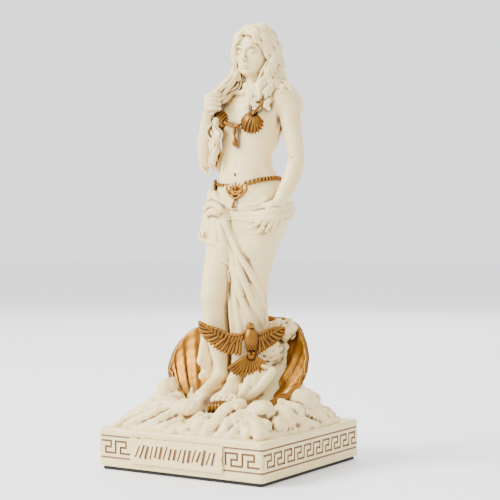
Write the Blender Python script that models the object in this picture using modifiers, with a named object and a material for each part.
"""A small cast statuette of a love goddess standing in a scallop shell.

The casting is one piece of ivory resin: a square plinth with a fret band and a
name tablet, a mound of sea foam, the open shell, and the figure with her long
hair, hip cloth and jewellery. A dove cast on its own is glued on in front of
her legs, and a felt pad is glued under the plinth.

Run it with: blender --background --python part.py
The carving is given in the carver's own units, shares of the figure's height.
+X is her left, -Y is the front, and +Z is up.
"""

import math

import bmesh
import bpy
import numpy as np
from mathutils import Matrix, Vector

MM = 0.001

# Driving sizes
FIGURE_HEIGHT = 77.0 * MM
PLINTH_WIDTH = 38.0 * MM
PLINTH_HEIGHT = 7.5 * MM
PLINTH_CORNER = 0.8 * MM
PLINTH_RIM_ROUND = 0.5 * MM
FELT_THICKNESS = 0.6 * MM
FELT_INSET = 0.5 * MM
GLUE_LINE = 0.1 * MM

# The two scored lines round the plinth, and the fret between them
LINE_RISE = 1.8 * MM
BAND_HEIGHT = 4.2 * MM
LINE_RADIUS = 0.2 * MM
LINE_DEPTH = 0.17 * MM
FRET_HEIGHT = 2.2 * MM
FRET_PITCH = 3.7 * MM
FRET_LINE = 0.3 * MM
FRET_DEPTH = 0.25 * MM
FRET_MARGIN = 0.6 * MM

# The name tablet on the front
TABLET_WIDTH = 21.5 * MM
TABLET_HEIGHT = 5.1 * MM
TABLET_PROUD = 0.5 * MM
TABLET_CHIP = 0.22 * MM
STROKE_COUNT = 9
STROKE_WIDTH = 0.35 * MM
STROKE_DEPTH = 0.2 * MM

# Free carving: one carver's unit, and the shell's wall
UNIT = FIGURE_HEIGHT / 77.0
SHOW_TURN = 32.0
SHELL_WALL = 1.05 * MM
SHELL_FLUTES = 17

PLINTH_BOTTOM = FELT_THICKNESS + GLUE_LINE
PLINTH_TOP = PLINTH_BOTTOM + PLINTH_HEIGHT
BAND_MIDDLE = PLINTH_BOTTOM + LINE_RISE + BAND_HEIGHT / 2
FRONT = -PLINTH_WIDTH / 2
RULE_AT_TOP = 8.2
SPREAD = (PLINTH_WIDTH / 2 - PLINTH_RIM_ROUND) / (18.5 * UNIT)

# How fine the clay is worked, and how many faces each carving keeps
BUST_GRAIN = 0.33 * UNIT
BODY_GRAIN = 0.42 * UNIT
BASE_GRAIN = 0.5 * UNIT
DOVE_GRAIN = 0.22 * UNIT
BUST_FACES = 2300
BODY_FACES = 2200
BASE_FACES = 1450
DOVE_FACES = 850


def clear_scene():
    for old in list(bpy.data.objects):
        bpy.data.objects.remove(old, do_unlink=True)


def collection(name):
    made = bpy.data.collections.new(name)
    bpy.context.scene.collection.children.link(made)
    return made


def finish(name, colour, roughness, metallic=0.0):
    made = bpy.data.materials.new(name)
    made.use_nodes = True
    shader = made.node_tree.nodes["Principled BSDF"]
    shader.inputs["Base Color"].default_value = (*colour, 1.0)
    shader.inputs["Roughness"].default_value = roughness
    shader.inputs["Metallic"].default_value = metallic
    return made


def add_object(name, mesh, home, material=None):
    made = bpy.data.objects.new(name, mesh)
    home.objects.link(made)
    if material:
        mesh.materials.append(material)
    return made


def as_tool(thing):
    """A guide or a cutter, which isn't a piece of the object itself."""
    thing.hide_render = True
    thing.display_type = "WIRE"
    return thing


def evaluated_mesh(thing):
    bpy.context.view_layer.update()
    graph = bpy.context.evaluated_depsgraph_get()
    return bpy.data.meshes.new_from_object(thing.evaluated_get(graph))


def outer_skin(mesh):
    """The largest island of a mesh alone, without the hollows shut inside it."""
    work = bmesh.new()
    work.from_mesh(mesh)
    left = set(work.verts)
    largest = set()
    while left:
        reached = {left.pop()}
        edge = list(reached)
        while edge:
            here = edge.pop()
            beside = [link.other_vert(here) for link in here.link_edges]
            fresh = [vert for vert in beside if vert not in reached]
            reached.update(fresh)
            edge.extend(fresh)
        left -= reached
        if len(reached) > len(largest):
            largest = reached
    bmesh.ops.delete(work, geom=[v for v in work.verts if v not in largest])
    work.to_mesh(mesh)
    work.free()
    return mesh


def at(x, y, z):
    """A point by the carver's rule, whose zero is the table."""
    return Vector((x * UNIT, y * UNIT, PLINTH_TOP + (z - RULE_AT_TOP) * UNIT))


def smooth_run(rows, steps):
    """Rows of numbers joined by a smooth run, with steps rows to each span."""
    rows = np.array(rows, float)
    padded = np.vstack([2 * rows[0] - rows[1], rows, 2 * rows[-1] - rows[-2]])
    out = []
    for i in range(1, len(padded) - 2):
        a, b, c, d = padded[i - 1 : i + 3]
        for k in range(steps):
            t = k / steps
            bend = (2 * a - 5 * b + 4 * c - d) * t * t
            twist = (3 * b - a - 3 * c + d) * t**3
            out.append(0.5 * (2 * b + (c - a) * t + bend + twist))
    out.append(rows[-1])
    return np.array(out)


class Clay:
    """A heap of overlapping shapes that is later worked into one skin."""

    def __init__(self, name, home):
        self.name = name
        self.home = home
        self.heap = bmesh.new()
        self.curve = bpy.data.curves.new(name + "_strands", "CURVE")
        self.curve.dimensions = "3D"
        self.curve.bevel_depth = UNIT
        self.curve.bevel_resolution = 2
        self.curve.use_fill_caps = True

    def ball(self, centre, radii, turn=(0, 0, 0)):
        """An egg with its middle and half-sizes in units, and its turn in degrees."""
        size = Matrix.Diagonal((*[r * UNIT for r in radii], 1.0))
        spin = Matrix.Identity(4)
        for degrees, axis in zip(turn, "XYZ"):
            spin = Matrix.Rotation(math.radians(degrees), 4, axis) @ spin
        place = Matrix.Translation(at(*centre)) @ spin @ size
        bmesh.ops.create_uvsphere(
            self.heap, u_segments=14, v_segments=9, radius=1.0, matrix=place
        )

    def strand(self, rows, steps=4):
        """A round strand through rows of x, y, z and radius, all in units."""
        run = smooth_run(rows, steps)
        line = self.curve.splines.new("POLY")
        line.points.add(len(run) - 1)
        for point, (x, y, z, radius) in zip(line.points, run):
            point.co = (*at(x, y, z), 1.0)
            point.radius = max(radius, 0.05)

    def loft(self, rows, steps=3, sides=20):
        """Oval rings at z, middle x, middle y, half-width and half-depth."""
        rings = []
        for z, x, y, width, depth in smooth_run(rows, steps):
            ring = []
            for k in range(sides):
                turn = math.tau * k / sides
                place = at(x + width * math.cos(turn), y + depth * math.sin(turn), z)
                ring.append(self.heap.verts.new(place))
            rings.append(ring)
        for low, high in zip(rings, rings[1:]):
            for k in range(sides):
                n = (k + 1) % sides
                self.heap.faces.new((low[k], low[n], high[n], high[k]))
        self.heap.faces.new(rings[0][::-1])
        self.heap.faces.new(rings[-1])

    def add_mesh(self, mesh):
        self.heap.from_mesh(mesh)

    def worked(self, grain, faces, smoothing=2):
        """The heap as one skin of the given grain, thinned to about that many faces."""
        if self.curve.splines:
            strands = bpy.data.objects.new(self.name + "_strands", self.curve)
            self.home.objects.link(strands)
            mesh = evaluated_mesh(strands)
            self.heap.from_mesh(mesh)
            bpy.data.objects.remove(strands)
        bmesh.ops.remove_doubles(self.heap, verts=self.heap.verts, dist=0.001 * MM)
        bmesh.ops.recalc_face_normals(self.heap, faces=self.heap.faces)
        rough = bpy.data.meshes.new(self.name)
        self.heap.to_mesh(rough)
        self.heap.free()
        heap = as_tool(add_object(self.name + "_heap", rough, self.home))
        skin = heap.modifiers.new("Skin", "REMESH")
        skin.mode = "VOXEL"
        skin.voxel_size = grain
        ease = heap.modifiers.new("Ease", "SMOOTH")
        ease.factor = 0.5
        ease.iterations = smoothing
        full = outer_skin(evaluated_mesh(heap))
        full.calc_loop_triangles()
        share = faces / len(full.loop_triangles)
        bpy.data.objects.remove(heap)
        carved = as_tool(add_object(self.name, full, self.home))
        thin = carved.modifiers.new("Thin", "DECIMATE")
        thin.ratio = min(1.0, share)
        return carved


# The body's ovals: height, middle x, middle y, half-width, half-depth
TORSO = (
    (45.5, 2.3, 2.6, 6.4, 4.8),
    (48.5, 2.5, 3.2, 8.2, 5.6),
    (51.5, 2.5, 3.5, 8.5, 5.6),
    (55.0, 2.35, 3.2, 7.6, 4.9),
    (58.0, 2.2, 2.8, 6.7, 4.2),
    (61.5, 2.0, 2.3, 5.6, 3.7),
    (65.0, 2.5, 2.6, 6.2, 4.0),
    (69.0, 2.85, 2.8, 6.8, 4.3),
    (72.0, 2.8, 3.0, 7.3, 3.9),
    (74.6, 2.8, 3.5, 6.2, 2.9),
    (76.2, 3.0, 3.8, 3.4, 2.4),
)


CUP_PLACES = ((-1.4, 68.9), (5.7, 68.3))


def round_body(degrees, z, out=0.0):
    """A place on the torso: degrees from her front towards her left, and height."""
    rows = np.array(TORSO)
    x, y, width, depth = [np.interp(z, rows[:, 0], rows[:, k]) for k in (1, 2, 3, 4)]
    turn = math.radians(degrees)
    return (
        x + (width + out) * math.sin(turn),
        y - (depth + out) * math.cos(turn),
        z,
    )


def wavy(rows, swing, waves, phase=0.0, steps=6):
    """A lock of hair: rows of x, y, z, radius with a side-to-side wave on them."""
    run = smooth_run(rows, steps)
    for i, row in enumerate(run):
        share = i / (len(run) - 1)
        swell = math.sin(math.pi * min(1.0, share * 3)) if share < 1 / 6 else 1.0
        turn = math.tau * waves * share + phase
        row[0] += swing * swell * math.sin(turn)
        row[1] += 0.5 * swing * swell * math.cos(turn)
    return run


# The figure
def carve_torso(clay):
    clay.loft(TORSO)
    clay.strand([(3.0, 4.0, 74.0, 2.8), (3.1, 3.6, 77.0, 2.0), (3.4, 3.9, 80.5, 2.1)])
    for x, z in CUP_PLACES:
        clay.ball((x, -0.5, z), (2.35, 2.35, 2.2))
    for x in (-0.9, 5.6):
        clay.ball((x, 5.3, 48.8), (3.9, 3.8, 4.1))
    for x in (-4.2, 9.6):
        clay.ball((x, 3.2, 73.4), (2.6, 2.5, 2.3))


def carve_head(clay):
    clay.ball((3.5, 4.4, 84.2), (3.6, 4.1, 4.4))
    clay.ball((3.5, 2.7, 82.1), (2.75, 3.4, 3.8))
    clay.ball((3.5, 0.4, 79.7), (1.2, 1.0, 1.1))
    clay.strand([(3.5, -0.5, 83.9, 0.35), (3.5, -1.1, 82.3, 0.5)])
    clay.strand([(2.7, -0.35, 80.9, 0.35), (3.5, -0.7, 80.9, 0.45), (4.3, -0.35, 80.9, 0.35)])
    for side in (-1, 1):
        brow = [(3.5 + side * 0.4, -0.6, 84.2, 0.35), (3.5 + side * 1.9, 0.1, 84.3, 0.4)]
        clay.strand(brow)


def carve_hair(clay):
    clay.ball((3.5, 4.9, 84.7), (4.7, 4.8, 5.1))
    clay.ball((3.4, 5.6, 78.5), (4.9, 3.4, 5.0))
    face = ((-1, 0.0), (1, 0.3))
    for side, lift in face:
        for k in range(3):
            out = 0.55 * k
            rows = (
                (3.5 + side * 0.3, 1.4 + out, 87.4 + 0.3 * k, 0.9),
                (3.5 + side * 2.4, 0.5 + out, 86.3 + 0.2 * k, 1.0),
                (3.5 + side * 3.7, 1.2 + out, 83.4 + lift, 1.1),
                (3.5 + side * (3.9 + 0.2 * k), 2.0 + out, 80.3, 1.2),
                (3.5 + side * 3.3, 2.2 + out, 77.3, 1.2),
            )
            clay.strand(wavy(rows, 0.35, 2.2, 1.1 * k))
    carve_back_hair(clay)
    carve_left_locks(clay)
    carve_held_lock(clay)


def carve_back_hair(clay):
    count = 9
    for k in range(count):
        share = k / (count - 1)
        turn = math.radians(-95 + 190 * share)
        x = 3.4 + 4.1 * math.sin(turn)
        y = 5.0 + 4.6 * math.cos(turn)
        foot_x = -5.6 + 15.6 * share
        end = 61.0 + 4.5 * math.sin(2.9 * share) + 3.0 * share
        rows = (
            (3.5, 4.4, 88.8, 0.9),
            (3.5 + 0.75 * (x - 3.5), 4.6 + 0.75 * (y - 4.6), 87.2, 1.2),
            (x, y, 83.0, 1.3),
            (x, y - 0.4, 79.0, 1.4),
            (0.5 * (x + foot_x), 6.9 + 0.5 * math.sin(3.1 * share), 74.0, 1.5),
            (foot_x, 6.2 + 1.0 * math.sin(3.1 * share), 69.0, 1.5),
            (foot_x + 0.4, 5.9, end, 0.5),
        )
        clay.strand(wavy(rows, 0.6, 4.0, 0.9 * k))
    clay.loft(((63.0, 1.6, 5.6, 5.6, 1.5), (70.0, 2.0, 6.2, 7.0, 1.6), (77.0, 3.3, 5.6, 4.8, 2.4)))


def carve_left_locks(clay):
    """Locks that fall from her left cheek over the shoulder and the chest."""
    count = 4
    for k in range(count):
        rows = (
            (7.4 + 0.3 * k, 2.4 + 0.7 * k, 80.0, 1.2),
            (7.3 + 0.7 * k, 1.6 + 0.8 * k, 77.0, 1.1),
            (5.9 + 1.5 * k, -0.2 + 0.9 * k, 74.6, 1.0),
            (5.4 + 1.9 * k, -1.3 + 1.1 * k, 72.0 - 0.4 * (k == 3), 0.9),
            (5.0 + 2.2 * k, -1.7 + 1.3 * k, 70.4 + 0.3 * k, 0.4),
        )
        clay.strand(wavy(rows, 0.5, 2.6, 1.3 * k))


def carve_held_lock(clay):
    """The hank that her right hand holds, and the waves of it below the hand."""
    bundle = (
        (0.4, 2.2, 81.0, 1.5),
        (-0.8, 0.6, 78.0, 1.6),
        (-2.0, -1.0, 75.4, 1.6),
        (-2.5, -2.0, 72.8, 1.5),
        (-3.1, -1.9, 69.5, 1.3),
    )
    clay.strand(bundle)
    for k in range(3):
        rows = (
            (-3.2 + 0.3 * k, -1.9, 70.0, 1.0),
            (-4.0 + 0.7 * k, -1.6, 66.6, 1.0),
            (-3.9 + 0.9 * k, -1.2 + 0.1 * k, 64.2, 0.9),
            (-4.8 + 1.0 * k, -0.8, 61.6 - 0.5 * k, 0.4),
        )
        clay.strand(wavy(rows, 0.5, 1.6, 1.7 * k))
    twist = ((-7.6, 4.6, 70.0, 1.2), (-7.0, 4.0, 65.0, 1.3), (-5.4, 3.2, 61.0, 1.2), (-4.6, 2.6, 58.8, 0.5))
    clay.strand(wavy(twist, 0.4, 2.4))


def carve_left_arm(clay):
    arm = (
        (9.9, 3.2, 73.4, 2.5),
        (11.6, 3.2, 71.6, 2.3),
        (12.4, 3.1, 67.0, 2.0),
        (13.2, 3.0, 61.6, 1.7),
        (12.8, 2.0, 57.6, 1.75),
        (11.5, 0.9, 53.6, 1.25),
        (10.8, 0.1, 51.6, 1.35),
    )
    clay.strand(arm)
    clay.ball((10.2, -0.5, 50.3), (1.5, 1.1, 1.9), (0, 25, 30))
    for k in range(4):
        knuckle = (10.6 - 0.75 * k, -0.6 - 0.35 * k, 50.2 - 0.35 * k + 0.2 * (k == 0))
        tip = (9.2 - 0.85 * k, -1.1 - 0.35 * k, 46.9 + 0.45 * k)
        middle = [0.5 * (a + b) for a, b in zip(knuckle, tip)]
        middle[1] -= 0.45
        clay.strand([(*knuckle, 0.6), (*middle, 0.55), (*tip, 0.4)])
    clay.strand([(10.1, -0.9, 51.6, 0.7), (8.6, -1.7, 50.4, 0.6), (7.4, -2.1, 49.3, 0.45)])


def carve_right_arm(clay):
    arm = (
        (-3.8, 3.2, 73.6, 2.4),
        (-5.8, 3.0, 72.4, 2.3),
        (-6.9, 3.0, 67.5, 2.0),
        (-7.3, 2.4, 62.4, 1.75),
        (-6.6, 0.6, 63.2, 1.75),
        (-5.3, -1.0, 67.0, 1.6),
        (-4.1, -2.3, 70.2, 1.25),
        (-3.4, -2.8, 71.8, 1.3),
    )
    clay.strand(arm)
    clay.ball((-2.9, -2.9, 72.6), (1.6, 1.4, 1.9))
    for k in range(4):
        z = 74.1 - 0.95 * k
        rows = (
            (-4.1, -2.6, z - 0.35, 0.5),
            (-3.4, -4.0, z - 0.1, 0.55),
            (-2.0, -4.3, z + 0.1, 0.55),
            (-0.9, -3.5, z + 0.1, 0.5),
        )
        clay.strand(rows)


def carve_foot(clay, ankle, heel, arch, ball, toe_tip, toe_spread):
    clay.strand([(*ankle, 1.4), (*heel, 1.45)])
    clay.strand([(*ankle, 1.35), (*arch, 1.5), (*ball, 1.3)])
    clay.strand([(*heel, 1.3), (arch[0], arch[1], arch[2] - 0.7, 1.2), (*ball, 1.2)])
    toes = 5
    for k in range(toes):
        aside = toe_spread * (k / (toes - 1) - 0.5)
        short = 0.35 * k
        root = (ball[0] + aside * 0.8, ball[1], ball[2] - 0.1, 0.7)
        knuckle = (toe_tip[0] + aside, toe_tip[1] + 1.2 + short, toe_tip[2] + 0.35, 0.58)
        tip = (toe_tip[0] + aside, toe_tip[1] + 0.4 + short, toe_tip[2], 0.48 - 0.03 * k)
        clay.strand([root, knuckle, tip])


def carve_legs(clay):
    right_leg = (
        (-1.2, 1.9, 48.5, 4.4),
        (-1.7, 0.0, 43.0, 3.75),
        (-2.3, -1.7, 37.5, 3.1),
        (-2.6, -2.4, 33.5, 2.75),
        (-2.5, -2.1, 28.0, 2.55),
        (-1.9, -1.7, 23.0, 1.85),
        (-1.3, -1.8, 18.8, 1.35),
    )
    clay.strand(right_leg)
    left_leg = (
        (6.2, 2.8, 49.0, 4.8),
        (5.0, 1.6, 42.0, 3.7),
        (4.2, 0.6, 34.5, 3.1),
        (3.7, 0.0, 28.0, 2.9),
        (3.1, -1.2, 21.5, 2.1),
        (2.4, -2.4, 16.8, 1.4),
    )
    clay.strand(left_leg)
    carve_foot(
        clay, (-1.2, -1.8, 18.4), (-1.1, -1.3, 15.6), (-1.8, -5.4, 15.6),
        (-2.5, -8.8, 13.5), (-2.8, -11.4, 12.7), -2.4,
    )
    carve_foot(
        clay, (2.4, -2.5, 16.6), (2.5, -1.6, 14.4), (2.5, -5.6, 15.1),
        (2.5, -8.6, 13.6), (2.6, -11.0, 12.7), 2.9,
    )


# The hip cloth
SKIRT = (
    (50.5, 2.6, 3.6, 8.3, 5.8),
    (46.5, 3.0, 3.0, 6.7, 5.3),
    (42.0, 3.6, 1.9, 4.7, 4.6),
    (36.0, 3.4, 1.0, 3.7, 3.9),
    (30.0, 3.2, 0.8, 3.6, 3.8),
    (24.0, 3.3, 1.0, 3.7, 3.9),
    (18.0, 4.2, 1.9, 4.4, 4.0),
    (13.5, 5.0, 2.3, 5.2, 4.4),
)


BACK_PANEL = (
    (47.0, -1.0, 4.6, 5.4, 4.4),
    (40.0, -1.2, 3.0, 4.2, 3.2),
    (30.0, -1.5, 1.6, 3.3, 2.3),
    (20.0, -1.8, 1.6, 3.4, 2.0),
    (14.5, -1.4, 1.6, 3.6, 2.0),
)


def carve_cloth(clay):
    clay.loft(SKIRT[::-1])
    clay.loft(BACK_PANEL[::-1])
    carve_waist_roll(clay)
    carve_hip_knot(clay)
    carve_front_folds(clay)
    carve_back_folds(clay)
    carve_cloth_ends(clay)


def carve_waist_roll(clay):
    route = (
        (-62, 55.0, 0.9), (-30, 53.3, 1.0), (-12, 52.1, 1.2), (5, 51.5, 1.3),
        (32, 51.4, 1.4), (52, 51.6, 1.5), (75, 52.0, 1.2), (110, 52.8, 1.1),
        (150, 53.6, 1.0), (190, 54.2, 1.0), (230, 54.6, 1.0), (270, 54.8, 0.9),
        (298, 55.0, 0.9),
    )
    clay.strand([(*round_body(turn, z, 0.25), radius) for turn, z, radius in route])
    lower = ((-40, 50.9, 1.2), (-10, 49.6, 1.1), (20, 48.9, 1.2), (50, 49.2, 1.3))
    clay.strand([(*round_body(turn, z, 0.1), radius) for turn, z, radius in lower])


def carve_hip_knot(clay):
    clay.ball((-4.8, 0.8, 51.2), (1.3, 1.7, 2.0))
    for k in range(5):
        rows = (
            (-5.0 + 0.1 * k, 0.3 + 0.5 * k, 51.9, 0.8),
            (-5.4, -0.7 + 0.9 * k, 49.4, 0.95),
            (-5.7 + 0.1 * k, -1.4 + 1.1 * k, 46.8 + 0.3 * k, 0.95),
            (-5.9 + 0.3 * k, -2.0 + 1.2 * k, 45.2 + 0.3 * k, 0.6),
        )
        clay.strand(rows)
    hem = ((-6.2, 46.2, 0.9, 0.6), (-4.6, 45.3, 2.3, 0.9), (-3.2, 44.9, 2.7, 0.8), (-2.0, 43.4, 2.9, 0.7))
    clay.strand([(*seen(across, up, out), radius) for across, up, out, radius in hem])


# Folds that fall from the knot, as places seen from the show side, with radii
FRONT_FOLDS = (
    ((-3.2, 50.4, 2.2, 0.8), (-2.1, 46.4, 2.4, 0.9), (-1.2, 43.4, 2.6, 0.9), (-0.4, 41.2, 2.7, 0.7),
     (0.6, 38.4, 3.2, 0.6), (1.8, 34.8, 3.9, 0.5)),
    ((-2.2, 50.4, 2.7, 0.8), (-0.6, 46.6, 3.1, 1.0), (0.8, 43.0, 3.6, 1.0), (2.2, 40.0, 4.1, 0.9),
     (3.4, 37.0, 4.4, 0.8), (4.6, 33.8, 4.4, 0.7), (5.4, 30.6, 4.2, 0.5)),
    ((-1.0, 49.8, 3.2, 0.7), (0.7, 46.2, 3.7, 0.9), (2.3, 42.8, 4.3, 0.9), (3.9, 39.8, 4.4, 0.8),
     (5.3, 36.8, 4.0, 0.8), (6.1, 33.6, 3.4, 0.7), (6.5, 30.0, 2.8, 0.5)),
    ((0.2, 39.6, 3.0, 0.6), (1.0, 36.0, 3.4, 0.7), (2.3, 32.7, 3.9, 0.7), (3.8, 29.6, 4.0, 0.6),
     (4.8, 27.0, 3.8, 0.5)),
    ((-0.6, 38.6, 2.2, 0.6), (-0.4, 34.0, 2.5, 0.6), (0.0, 30.0, 2.7, 0.6), (0.4, 26.0, 2.8, 0.5)),
)


def seen(across, up, out):
    """A place as seen from the show side, a third of the way round to her left."""
    turn = math.radians(SHOW_TURN)
    x = across * math.cos(turn) + out * math.sin(turn)
    y = across * math.sin(turn) - out * math.cos(turn)
    return x, y, up


def carve_front_folds(clay):
    for fold in FRONT_FOLDS:
        clay.strand([(*seen(across, up, out), radius) for across, up, out, radius in fold])


# A fold at the back: height, how far it stands out, and radius
BACK_FOLD = (
    (52.0, -0.2, 0.8),
    (47.0, 0.0, 0.9),
    (38.0, 0.0, 0.95),
    (28.0, 0.0, 0.95),
    (18.0, 0.3, 1.0),
    (14.0, 0.5, 1.0),
)
CLOTH_RISE = (14, 28, 40, 50)


def carve_back_folds(clay):
    clay.ball((0.3, 4.0, 29.0), (3.4, 2.4, 10.0))
    count = 8
    for k in range(count):
        share = k / (count - 1)
        turn = math.radians(70 + 215 * share)
        rows = []
        for z, out, radius in BACK_FOLD:
            middle_x, middle_y = 1.0 + (z > 45) * 1.3, 2.6 + (z > 45) * 0.8
            width = np.interp(z, CLOTH_RISE, (6.6, 4.2, 4.9, 7.6)) + out
            depth = np.interp(z, CLOTH_RISE, (4.2, 3.2, 4.0, 5.6)) + out
            drift = 0.35 * math.sin(0.16 * z + 1.7 * k)
            x = middle_x + width * math.sin(turn) + drift
            rows.append((x, middle_y - depth * math.cos(turn), z, radius))
        clay.strand(rows)


def carve_cloth_ends(clay):
    """The corner behind the right calf, and the roll that lies in the shell."""
    for k in range(4):
        rows = (
            (-6.0 + 0.5 * k, 27.0, -2.2, 0.8),
            (-6.0 + 0.8 * k, 24.0, -1.6, 0.9),
            (-6.3 + 0.9 * k, 21.0 - 0.7 * k, -1.0, 0.8),
        )
        clay.strand([(*seen(across, up, out), radius) for across, up, out, radius in rows])
    roll = (
        (3.9, -6.3, 13.6, 0.9),
        (5.4, -5.2, 14.0, 1.3),
        (7.9, -3.4, 16.0, 1.35),
        (9.4, -2.1, 18.0, 1.3),
        (10.2, -1.1, 19.4, 1.1),
    )
    clay.strand(roll)
    for k in range(4):
        rows = (
            (4.6 + 1.0 * k, -3.0 + 0.9 * k, 22.4 + 0.5 * k, 0.9),
            (5.6 + 1.1 * k, -3.4 + 0.9 * k, 18.6, 0.9),
            (6.0 + 1.0 * k, -4.0 + 1.1 * k, 15.2 + 0.4 * k, 0.9),
        )
        clay.strand(rows)


# Jewellery in relief on the casting
def carve_cups(clay):
    for x, z in CUP_PLACES:
        clay.ball((x, -0.5, z), (2.4, 2.35, 2.25))
        for k in range(7):
            turn = math.radians(-66 + 22 * k)
            rows = []
            for rise in (1.9, 0.9, -0.3, -1.5):
                spread = 2.0 * math.sqrt(max(0.0, 1 - (rise / 2.6) ** 2)) * (1.4 - rise / 1.9)
                side = 0.5 * spread * math.sin(turn) * 1.6
                depth = math.sqrt(max(0.1, 2.45**2 - side**2 - 0.8 * rise**2))
                rows.append((x + side, -0.5 - depth, z + rise, 0.34))
            clay.strand(rows, 3)
    chain = ((0.9, -2.3, 68.0, 0.45), (2.0, -2.1, 66.9, 0.4), (3.2, -2.1, 66.6, 0.45), (4.4, -2.3, 67.2, 0.4))
    clay.strand(chain)
    clay.ball((2.4, -2.4, 65.9), (0.5, 0.45, 0.7))
    clay.ball((2.4, -2.3, 64.4), (0.65, 0.6, 0.95))
    clay.strand([(6.9, -2.2, 70.0, 0.4), (8.1, -1.4, 71.8, 0.4), (8.8, -0.4, 73.4, 0.4)])


def carve_belt(clay):
    belt = [(*round_body(turn, 56.0 + 0.018 * abs(turn), 0.35), 0.5) for turn in range(-180, 181, 15)]
    clay.strand(belt, 2)
    clay.ball(round_body(-60, 56.7, 0.4), (0.95, 0.95, 0.95))
    clay.ball(round_body(0, 56.6, 0.4), (1.7, 0.7, 0.9))
    for side in (-1, 1):
        rows = [(*round_body(side * turn, z, 0.45), 0.42) for turn, z in ((20, 56.4), (17, 54.8), (9, 53.6), (0, 53.3))]
        clay.strand(rows)
    clay.ball(round_body(0, 54.9, 0.3), (1.3, 0.6, 1.3))
    clay.ball(round_body(0, 52.4, 0.8), (0.4, 0.4, 0.8))


# The scallop shell
SHELL_RIM = (
    (-3.2, -9.6, 11.8), (-9.8, -3.2, 14.2), (-14.0, -0.5, 16.2), (-16.0, 2.0, 19.5),
    (-14.2, 5.0, 23.5), (-9.7, 7.5, 26.3), (-3.0, 9.4, 28.4), (4.0, 9.8, 29.3),
    (9.6, 8.2, 28.3), (13.3, 5.5, 25.0), (15.2, 3.3, 21.5), (15.0, 1.5, 18.0),
    (13.5, -1.6, 15.3), (10.4, -5.4, 13.4), (5.0, -9.4, 12.0),
)
SHELL_BEAK = (0.8, -10.8, 11.1)


def shell_point(round_share, out_share):
    """A place on the shell: round the rim, and out from the beak to the rim."""
    rim = np.array(SHELL_RIM)
    rows = smooth_run(rim, 6)
    place = round_share * (len(rows) - 1)
    low = min(int(place), len(rows) - 2)
    edge = rows[low] + (rows[low + 1] - rows[low]) * (place - low)
    beak = np.array(SHELL_BEAK)
    bowl = np.array((edge[0] * 0.82, beak[1] + 0.80 * (edge[1] - beak[1]), 10.6))
    t = out_share
    spot = (1 - t) ** 2 * beak + 2 * t * (1 - t) * bowl + t * t * edge
    middle = np.array((0.0, 1.5, 30.0))
    inward = (middle - spot) / np.linalg.norm(middle - spot)
    flute = math.cos(math.tau * SHELL_FLUTES * round_share)
    return spot + inward * 0.55 * flute * t


def carve_shell(clay):
    around, outward = SHELL_FLUTES * 5, 12
    sheet = bmesh.new()
    bmesh.ops.create_grid(sheet, x_segments=around, y_segments=outward, size=0.5)
    for vert in sheet.verts:
        out = 0.06 + 0.94 * (vert.co.y + 0.5)
        vert.co = at(*shell_point(vert.co.x + 0.5, out))
    mesh = bpy.data.meshes.new("shell_sheet")
    sheet.to_mesh(mesh)
    sheet.free()
    thing = add_object("shell_sheet", mesh, clay.home)
    wall = thing.modifiers.new("Wall", "SOLIDIFY")
    wall.thickness = SHELL_WALL
    wall.offset = 0.0
    clay.add_mesh(evaluated_mesh(thing))
    bpy.data.objects.remove(thing)


# The foam
def spread(x, y, z):
    """A place in the foam, which keeps inside the plinth's rim."""
    return (x * SPREAD, y * SPREAD, z)


def carve_foam(clay):
    bed = (
        (7.4, 0.0, 0.0, 17.9 * SPREAD, 17.9 * SPREAD),
        (8.9, 0.0, 0.0, 17.3 * SPREAD, 17.3 * SPREAD),
        (10.2, 0.0, 0.6, 14.2, 13.6),
        (11.6, 0.0, 1.6, 12.0, 11.0),
        (14.0, 0.0, 4.0, 12.0, 8.6),
        (18.0, 0.0, 6.2, 11.4, 6.4),
        (22.0, 0.2, 8.0, 10.4, 4.8),
        (26.0, 1.4, 9.2, 8.4, 3.4),
        (28.2, 3.0, 9.6, 4.6, 2.0),
    )
    clay.loft(bed, sides=28)
    corner = 15.6
    for x in (-1, 1):
        for y in (-1, 1):
            clay.ball(spread(x * corner * 0.82, y * corner * 0.82, 8.2), (4.6, 4.6, 1.9))
    lumps = (
        (-9.0, -10.6, 11.0, 3.2), (-5.6, -11.2, 10.6, 2.6), (-12.6, -6.6, 11.2, 3.0),
        (4.6, -12.4, 10.6, 2.9), (8.8, -10.4, 10.9, 3.0), (12.6, -7.0, 11.2, 3.2),
        (11.0, -12.0, 9.6, 2.6), (15.0, -3.0, 11.4, 2.8), (15.2, 2.4, 11.8, 2.6),
        (-15.4, -1.6, 11.4, 2.7), (-15.6, 4.0, 13.4, 2.6), (-14.0, 9.0, 14.4, 3.2),
        (-8.0, 11.8, 15.0, 3.4), (-1.0, 12.6, 15.6, 3.4), (5.8, 10.4, 15.8, 3.2),
        (12.2, 6.6, 13.2, 2.8), (-11.4, 7.6, 19.6, 2.8), (-5.0, 10.2, 22.0, 3.2),
        (2.6, 11.0, 24.4, 3.0), (8.2, 8.4, 22.6, 2.6), (9.3, 6.2, 28.3, 1.8),
        (6.4, 7.6, 29.0, 1.9), (13.4, 12.2, 9.4, 2.3), (-13.8, 12.6, 9.8, 2.8),
        (3.0, 15.4, 11.0, 3.0), (-5.0, 15.2, 10.8, 3.0),
    )
    for x, y, z, radius in lumps:
        clay.ball((x, y, z), (radius, radius, radius * 0.92))
    carve_streams(clay)
    carve_curls(clay)


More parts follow.
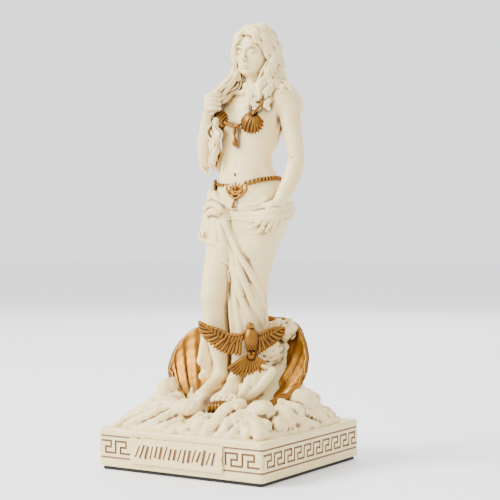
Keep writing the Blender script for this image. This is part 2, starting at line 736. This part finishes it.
def carve_streams(clay):
    """Runs of foam that flow down the mound to the rim."""
    count = 22
    for k in range(count):
        turn = math.tau * k / count + 0.12
        lean = 0.35 * math.sin(2.3 * k)
        rows = []
        for share in (0.0, 0.35, 0.7, 1.0):
            angle = turn + lean * share
            square = 1.0 / max(abs(math.sin(angle)), abs(math.cos(angle))) ** 0.55
            reach = (11.0 + (17.2 * SPREAD - 11.0) * share) * square
            reach = min(reach, 16.9 * SPREAD / max(abs(math.sin(angle)), abs(math.cos(angle))))
            drop = 11.8 - 3.2 * share**0.7
            rows.append((reach * math.sin(angle), -reach * math.cos(angle), drop, 1.2 - 0.45 * share))
        clay.strand(rows)


def carve_curls(clay):
    """Wave tops that roll over: place, size, and which way they roll."""
    curls = (
        (-4.6, -14.6, 10.0, 1.9, 25), (1.6, -15.4, 9.8, 1.6, -20), (9.4, -14.4, 9.9, 1.7, 30),
        (14.4, -10.0, 10.6, 1.9, 70), (-12.6, -13.4, 9.6, 1.5, -40), (15.6, 8.0, 10.6, 1.8, 110),
        (-15.6, -8.4, 10.0, 1.7, -80), (-15.6, 10.0, 10.4, 1.8, -110), (6.0, 15.6, 10.4, 1.9, 180),
    )
    for x, y, z, size, facing in curls:
        heading = math.radians(facing)
        rows = []
        for k in range(9):
            turn = -1.2 + 0.62 * k
            reach = size * (1.0 - 0.075 * k)
            along = -reach * math.cos(turn)
            rows.append((
                x + along * math.cos(heading), y + along * math.sin(heading),
                z + reach * math.sin(turn), 0.85 - 0.03 * k,
            ))
        clay.strand(rows, 2)


# The dove
DOVE_PLACE = (6.55, -3.7, 25.6)
DOVE_FACING = 38.0
WING_SWEEP = 20.0
NEAR_WING = 10.2
FAR_WING = 8.2


def dove_point(across, forward, up):
    """A place on the dove: to its left, ahead of its breast, and up."""
    turn = math.radians(DOVE_FACING)
    x, y, z = DOVE_PLACE
    return (
        x + across * math.cos(turn) + forward * math.sin(turn),
        y + across * math.sin(turn) - forward * math.cos(turn),
        z + up,
    )


def carve_wing(clay, side, span):
    """Overlapping feathers that fan out and down from a curved arm."""
    feathers = 11
    for k in range(feathers):
        share = k / (feathers - 1)
        root = span * (0.12 + 0.50 * share)
        tip = span * (0.22 + 0.80 * share**0.85)
        root_up = 1.3 + 0.9 * share
        tip_up = -3.1 + 5.2 * share**1.7
        rows = []
        for step in (0.0, 0.5, 1.0):
            across = root + (tip - root) * step
            back = across * math.tan(math.radians(WING_SWEEP)) - 0.5 * step * (1 - share)
            up = root_up + (tip_up - root_up) * step + 0.35 * math.sin(math.pi * step)
            rows.append((*dove_point(side * across, 0.6 - back, up), 0.5 - 0.12 * step))
        clay.strand(rows, 3)
    arm = []
    for share in (0.0, 0.3, 0.6, 0.85, 1.0):
        across = span * (0.06 + 0.92 * share)
        back = across * math.tan(math.radians(WING_SWEEP))
        up = 0.9 + 0.7 * math.sin(math.pi * share) + 1.6 * share**2
        arm.append((*dove_point(side * across, 0.8 - back, up), 0.62 - 0.25 * share))
    clay.strand(arm)


def carve_dove(clay):
    body = (
        (*dove_point(0, 0.2, -3.0), 0.7),
        (*dove_point(0, 0.4, -1.6), 1.15),
        (*dove_point(0, 0.5, 0.3), 1.4),
        (*dove_point(0, 0.5, 1.6), 1.1),
        (*dove_point(0.05, 0.6, 2.5), 0.8),
    )
    clay.strand(body)
    clay.ball(dove_point(0.15, 0.75, 2.75), (0.85, 0.85, 0.8))
    clay.strand([(*dove_point(0.4, 1.2, 2.75), 0.35), (*dove_point(0.9, 1.8, 2.55), 0.2)])
    carve_wing(clay, -1, NEAR_WING)
    carve_wing(clay, 1, FAR_WING)
    feathers = 7
    for k in range(feathers):
        share = k / (feathers - 1) * 2 - 1
        rows = (
            (*dove_point(0.4 * share, 0.1, -2.2), 0.5),
            (*dove_point(2.0 * share, 0.3, -4.4 + 0.2 * share**2), 0.5),
            (*dove_point(3.5 * share, 0.4, -6.7 + 1.3 * share**2), 0.45),
        )
        clay.strand(rows, 3)


# The plinth
def rounded_square(half, corner, bits=4):
    """The outline of a square with round corners, as x and y."""
    points = []
    for quarter in range(4):
        middle = Vector((half - corner, half - corner))
        for k in range(bits):
            turn = math.pi / 2 * k / (bits - 1)
            spot = middle + corner * Vector((math.cos(turn), math.sin(turn)))
            points.append(Matrix.Rotation(math.pi / 2 * quarter, 2) @ spot)
    return points


def flat_slab(name, outline, thickness, home):
    """An outline in x and y, filled and as thick as asked, standing on z = 0."""
    curve = bpy.data.curves.new(name, "CURVE")
    curve.dimensions = "2D"
    curve.fill_mode = "BOTH"
    curve.extrude = thickness / 2
    line = curve.splines.new("POLY")
    line.points.add(len(outline) - 1)
    for point, (x, y) in zip(line.points, outline):
        point.co = (x, y, thickness / 2, 1.0)
    line.use_cyclic_u = True
    flat = bpy.data.objects.new(name, curve)
    home.objects.link(flat)
    mesh = evaluated_mesh(flat)
    bpy.data.objects.remove(flat)
    lift = Matrix.Translation((0, 0, thickness / 2))
    if mesh.vertices and min(v.co.z for v in mesh.vertices) < -0.25 * thickness:
        mesh.transform(lift)
    return weld(mesh)


def weld(mesh):
    work = bmesh.new()
    work.from_mesh(mesh)
    bmesh.ops.remove_doubles(work, verts=work.verts, dist=0.001 * MM)
    bmesh.ops.recalc_face_normals(work, faces=work.faces)
    work.to_mesh(mesh)
    work.free()
    return mesh


def boolean(target, tool, operation):
    """Cuts or joins closed skins. Where fine cuts meet, only this solver keeps them closed."""
    cut = target.modifiers.new(tool.name, "BOOLEAN")
    cut.operation = operation
    cut.object = tool
    cut.solver = "MANIFOLD"


def make_plinth(home, tools, material):
    body = bmesh.new()
    bmesh.ops.create_cube(body, size=1.0)
    bmesh.ops.scale(body, verts=body.verts, vec=(PLINTH_WIDTH, PLINTH_WIDTH, PLINTH_HEIGHT))
    upright = [e for e in body.edges if abs(e.verts[0].co.z - e.verts[1].co.z) > 0.5 * PLINTH_HEIGHT]
    bmesh.ops.bevel(body, geom=upright, offset=PLINTH_CORNER, segments=3, profile=0.5, affect="EDGES")
    top = [e for e in body.edges if min(v.co.z for v in e.verts) > 0.4 * PLINTH_HEIGHT]
    bmesh.ops.bevel(body, geom=top, offset=PLINTH_RIM_ROUND, segments=2, profile=0.5, affect="EDGES")
    bmesh.ops.translate(body, verts=body.verts, vec=(0, 0, PLINTH_BOTTOM + PLINTH_HEIGHT / 2))
    mesh = bpy.data.meshes.new("statuette")
    body.to_mesh(mesh)
    body.free()
    plinth = add_object("statuette", mesh, home, material)
    for k, z in enumerate((LINE_RISE, LINE_RISE + BAND_HEIGHT)):
        boolean(plinth, scored_line(k, PLINTH_BOTTOM + z, tools), "DIFFERENCE")
    return plinth


def scored_line(number, z, tools):
    curve = bpy.data.curves.new("scored_line", "CURVE")
    curve.dimensions = "3D"
    curve.bevel_depth = LINE_RADIUS
    curve.bevel_resolution = 1
    outside = LINE_RADIUS - LINE_DEPTH
    outline = rounded_square(PLINTH_WIDTH / 2 + outside, PLINTH_CORNER + outside)
    line = curve.splines.new("POLY")
    line.points.add(len(outline) - 1)
    for point, (x, y) in zip(line.points, outline):
        point.co = (x, y, z, 1.0)
    line.use_cyclic_u = True
    ring = bpy.data.objects.new("ring", curve)
    tools.objects.link(ring)
    mesh = weld(evaluated_mesh(ring))
    bpy.data.objects.remove(ring)
    return as_tool(add_object(f"scored_line_{number}", mesh, tools))


def fret_path(units, pitch):
    """The key pattern's line in x and y, from its lower left end."""
    shape = ((0, 0), (0, 1), (0.69, 1), (0.69, 0.5), (0.33, 0.5), (0.33, 0))
    points = []
    for unit in range(units):
        points += [((unit + x) * pitch, y * FRET_HEIGHT) for x, y in shape]
    points.append((units * pitch, 0.0))
    return points


def ribbon(points, width):
    """The outline of a square-cornered line of the given width."""
    spots = [Vector(p) for p in points]
    sides = ([], [])
    for i, spot in enumerate(spots):
        before = (spot - spots[i - 1]).normalized() if i else None
        after = (spots[i + 1] - spot).normalized() if i < len(spots) - 1 else None
        before = before or after
        after = after or before
        for side, sign in zip(sides, (1, -1)):
            shift = Vector((-before.y, before.x)) + Vector((-after.y, after.x))
            if before == after:
                shift *= 0.5
            side.append(spot + shift * sign * width / 2)
    return [tuple(p) for p in sides[0] + sides[1][::-1]]


def cut_fret(plinth, face, units, start, pitch, tools, label):
    """A fret sunk in one face: 0 is the front, and each step turns to the right."""
    outline = ribbon(fret_path(units, pitch), FRET_LINE)
    mesh = flat_slab("fret", outline, 2 * FRET_DEPTH, tools)
    stand = Matrix.Rotation(math.pi / 2, 4, "X")
    depth = Matrix.Translation((start, FRONT + FRET_DEPTH, BAND_MIDDLE - FRET_HEIGHT / 2))
    mesh.transform(Matrix.Rotation(math.pi / 2 * face, 4, "Z") @ depth @ stand)
    boolean(plinth, as_tool(add_object("fret_" + label, mesh, tools)), "DIFFERENCE")


def add_frets(plinth, tools):
    run = PLINTH_WIDTH - 2 * FRET_MARGIN
    count = max(1, round(run / FRET_PITCH))
    pitch = run / count
    left = -run / 2
    for face, label in ((1, "left"), (2, "back"), (3, "right")):
        cut_fret(plinth, face, count, left, pitch, tools, label)
    beside = int((run / 2 - TABLET_WIDTH / 2 + 0.01 * MM) / pitch)
    if beside:
        cut_fret(plinth, 0, beside, left, pitch, tools, "front_1")
        cut_fret(plinth, 0, beside, -left - beside * pitch, pitch, tools, "front_2")


def add_tablet(plinth, tools):
    """The chipped tablet, with slanting strokes where a name would stand."""
    outline = []
    half, tall = TABLET_WIDTH / 2, TABLET_HEIGHT / 2
    corners = ((-half, -tall), (half, -tall), (half, tall), (-half, tall))
    for side in range(4):
        (ax, ay), (bx, by) = corners[side], corners[(side + 1) % 4]
        bits = 8 if side % 2 == 0 else 3
        for k in range(bits):
            share = k / bits
            chip = TABLET_CHIP * math.sin(12.9 * (k + 1) + 4.1 * side)
            x, y = ax + (bx - ax) * share, ay + (by - ay) * share
            outline.append((x - chip * (side % 2), y - chip * (1 - side % 2)))
    mesh = flat_slab("tablet", outline, 2 * TABLET_PROUD, tools)
    stand = Matrix.Rotation(math.pi / 2, 4, "X")
    mesh.transform(Matrix.Translation((0, FRONT + TABLET_PROUD, BAND_MIDDLE)) @ stand)
    boolean(plinth, as_tool(add_object("tablet", mesh, tools)), "UNION")
    cut_strokes(plinth, tools)


def cut_strokes(plinth, tools):
    strokes = bmesh.new()
    step = TABLET_WIDTH * 0.86 / STROKE_COUNT
    for k in range(STROKE_COUNT):
        tall = TABLET_HEIGHT * (0.62, 0.5, 0.56)[k % 3]
        lean = Matrix.Rotation(math.radians(14 + 5 * math.sin(2.1 * k)), 4, "Y")
        x = (k - (STROKE_COUNT - 1) / 2) * step
        place = Matrix.Translation((x, FRONT - TABLET_PROUD, BAND_MIDDLE))
        size = Matrix.Diagonal((STROKE_WIDTH, 2 * STROKE_DEPTH, tall, 1.0))
        bmesh.ops.create_cube(strokes, size=1.0, matrix=place @ lean @ size)
    mesh = bpy.data.meshes.new("strokes")
    strokes.to_mesh(mesh)
    strokes.free()
    boolean(plinth, as_tool(add_object("strokes", mesh, tools)), "DIFFERENCE")


def make_felt(home, material):
    half = PLINTH_WIDTH / 2 - FELT_INSET
    outline = rounded_square(half, PLINTH_CORNER)
    mesh = flat_slab("felt_pad", outline, FELT_THICKNESS, home)
    return add_object("felt_pad", mesh, home, material)


def grown_copy(carved, gap, tools):
    """The same carving with its skin moved out, to cut a neighbour clear of it."""
    grown = as_tool(add_object(carved.name + "_clearance", evaluated_mesh(carved), tools))
    swell = grown.modifiers.new("Swell", "DISPLACE")
    swell.mid_level = 0.0
    swell.strength = gap
    return grown


def main():
    clear_scene()
    home = collection("aphrodite_statue")
    tools = collection("tools")
    ivory = finish("ivory resin", (0.82, 0.74, 0.60), 0.45)
    gold = finish("antique gold paint", (0.50, 0.29, 0.10), 0.38, 0.85)
    black = finish("black felt", (0.015, 0.015, 0.015), 0.95)

    bust = Clay("bust", tools)
    for carve in (carve_head, carve_hair, carve_right_arm, carve_cups):
        carve(bust)
    bust = bust.worked(BUST_GRAIN, BUST_FACES)
    body = Clay("body", tools)
    for carve in (carve_torso, carve_left_arm, carve_legs, carve_cloth, carve_belt):
        carve(body)
    body = body.worked(BODY_GRAIN, BODY_FACES)
    base = Clay("base", tools)
    carve_foam(base)
    carve_shell(base)
    base = base.worked(BASE_GRAIN, BASE_FACES)

    statuette = make_plinth(home, tools, ivory)
    add_frets(statuette, tools)
    add_tablet(statuette, tools)
    for carved in (base, body, bust):
        boolean(statuette, carved, "UNION")

    bird = Clay("dove_clay", tools)
    carve_dove(bird)
    bird = bird.worked(DOVE_GRAIN, DOVE_FACES, 1)
    dove = add_object("dove", evaluated_mesh(bird), home, gold)
    for carved in (body, base):
        boolean(dove, grown_copy(carved, 1.5 * GLUE_LINE, tools), "DIFFERENCE")
    make_felt(home, black)


main()
